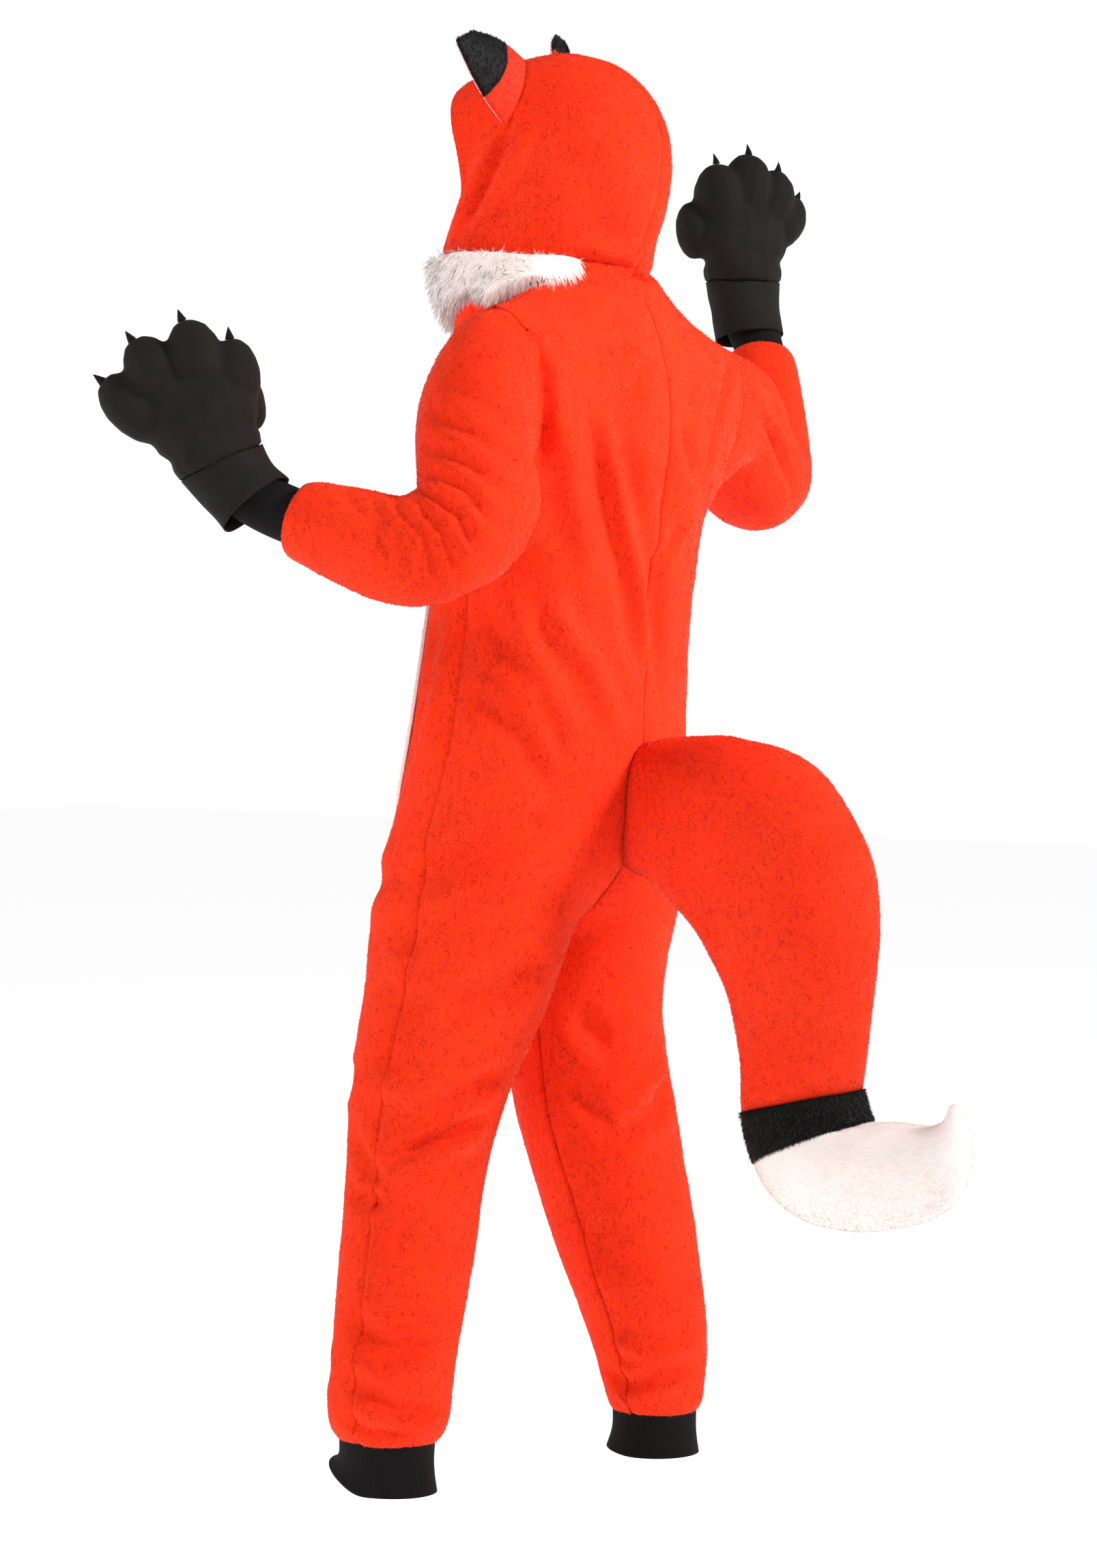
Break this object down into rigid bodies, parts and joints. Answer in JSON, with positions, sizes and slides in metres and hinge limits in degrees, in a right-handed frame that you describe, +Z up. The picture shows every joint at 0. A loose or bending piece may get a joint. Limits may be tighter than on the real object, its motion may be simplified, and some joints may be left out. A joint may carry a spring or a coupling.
{
  "type": "fox costume",
  "caption": "Hooded plush fox jumpsuit, worn and empty, with ears, fur collar, pale belly, stuffed tail, knit cuffs and clawed paw mittens.",
  "frame": {"origin": "middle of the wearer's neck base, where the costume hangs from the wearer", "axes": "+Z up, +X to the wearer's left, -Y to the wearer's front"},
  "size_m": [1.161, 0.8499, 1.7358],
  "materials": {
    "orange": "short pile plush",
    "white": "white fur and plush",
    "black": "matt black fleece, jersey and short fur",
    "knit": "black ribbed knit and woven tape",
    "pink": "pale pink plush",
    "metal": "nickel plated zinc"
  },
  "bodies": {
    "garment": {"ankle_cuff_left": "knit", "ankle_cuff_right": "knit", "back_left": "orange", "back_right": "orange", "claw_index_left": "black", "claw_index_right": "black", "claw_little_left": "black", "claw_little_right": "black", "claw_middle_left": "black", "claw_middle_right": "black", "claw_ring_left": "black", "claw_ring_right": "black", "collar_left": "white", "collar_right": "white", "ear_back_left": "orange", "ear_back_right": "orange", "ear_inner_left": "pink", "ear_inner_right": "pink", "ear_tip_left": "black", "ear_tip_right": "black", "front_left": "orange", "front_right": "orange", "hood_left": "orange", "hood_right": "orange", "mitten_band_left": "black", "mitten_band_right": "black", "mitten_left": "black", "mitten_right": "black", "sleeve_left": "orange", "sleeve_right": "orange", "tail_band": "black", "tail_body": "orange", "tail_tip": "white", "tummy_left": "white", "tummy_right": "white", "wrist_cuff_left": "knit", "wrist_cuff_right": "knit", "zip_slider": "metal", "zip_tape": "knit"},
    "pull": {"zip_pull": "metal"}
  },
  "joints": [
    {"name": "zip_pull_swing", "type": "hinge", "parent": "garment", "child": "pull", "pos_m": [0.0001, -0.18761, 0.00597], "axis": [-1, 0, 0], "range_deg": [0, 150]}
  ]
}
